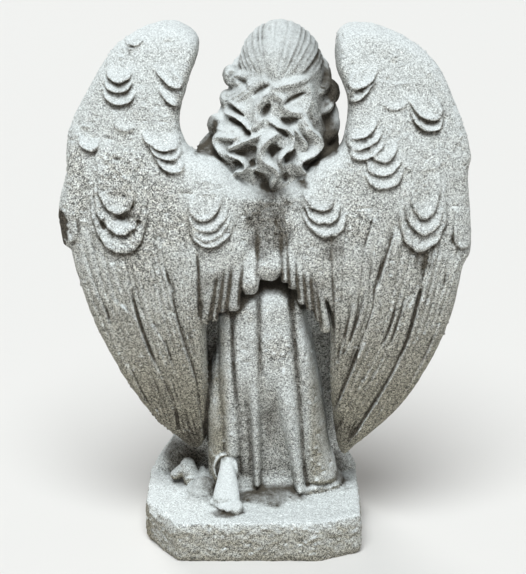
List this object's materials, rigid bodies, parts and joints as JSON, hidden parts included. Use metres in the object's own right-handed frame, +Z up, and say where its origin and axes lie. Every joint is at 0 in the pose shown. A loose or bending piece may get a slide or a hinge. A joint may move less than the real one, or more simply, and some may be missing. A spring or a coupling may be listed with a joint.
{
  "type": "cemetery angel statue",
  "caption": "Kneeling stone angel with tall folded wings and joined hands, cast in one piece with a low eight-sided base; stands by its own weight.",
  "frame": {"origin": "centre of the flat underside of the base", "axes": "+Z up, the angel faces -Y, its wings are towards +Y, +X is the angel's left"},
  "size_m": [0.3808, 0.1675, 0.4996],
  "materials": {
    "cast_stone": "weathered light grey cast stone, sandy grain, dark patina in the hollows"
  },
  "bodies": {
    "root": {"angel_statue": "cast_stone"}
  },
  "joints": []
}
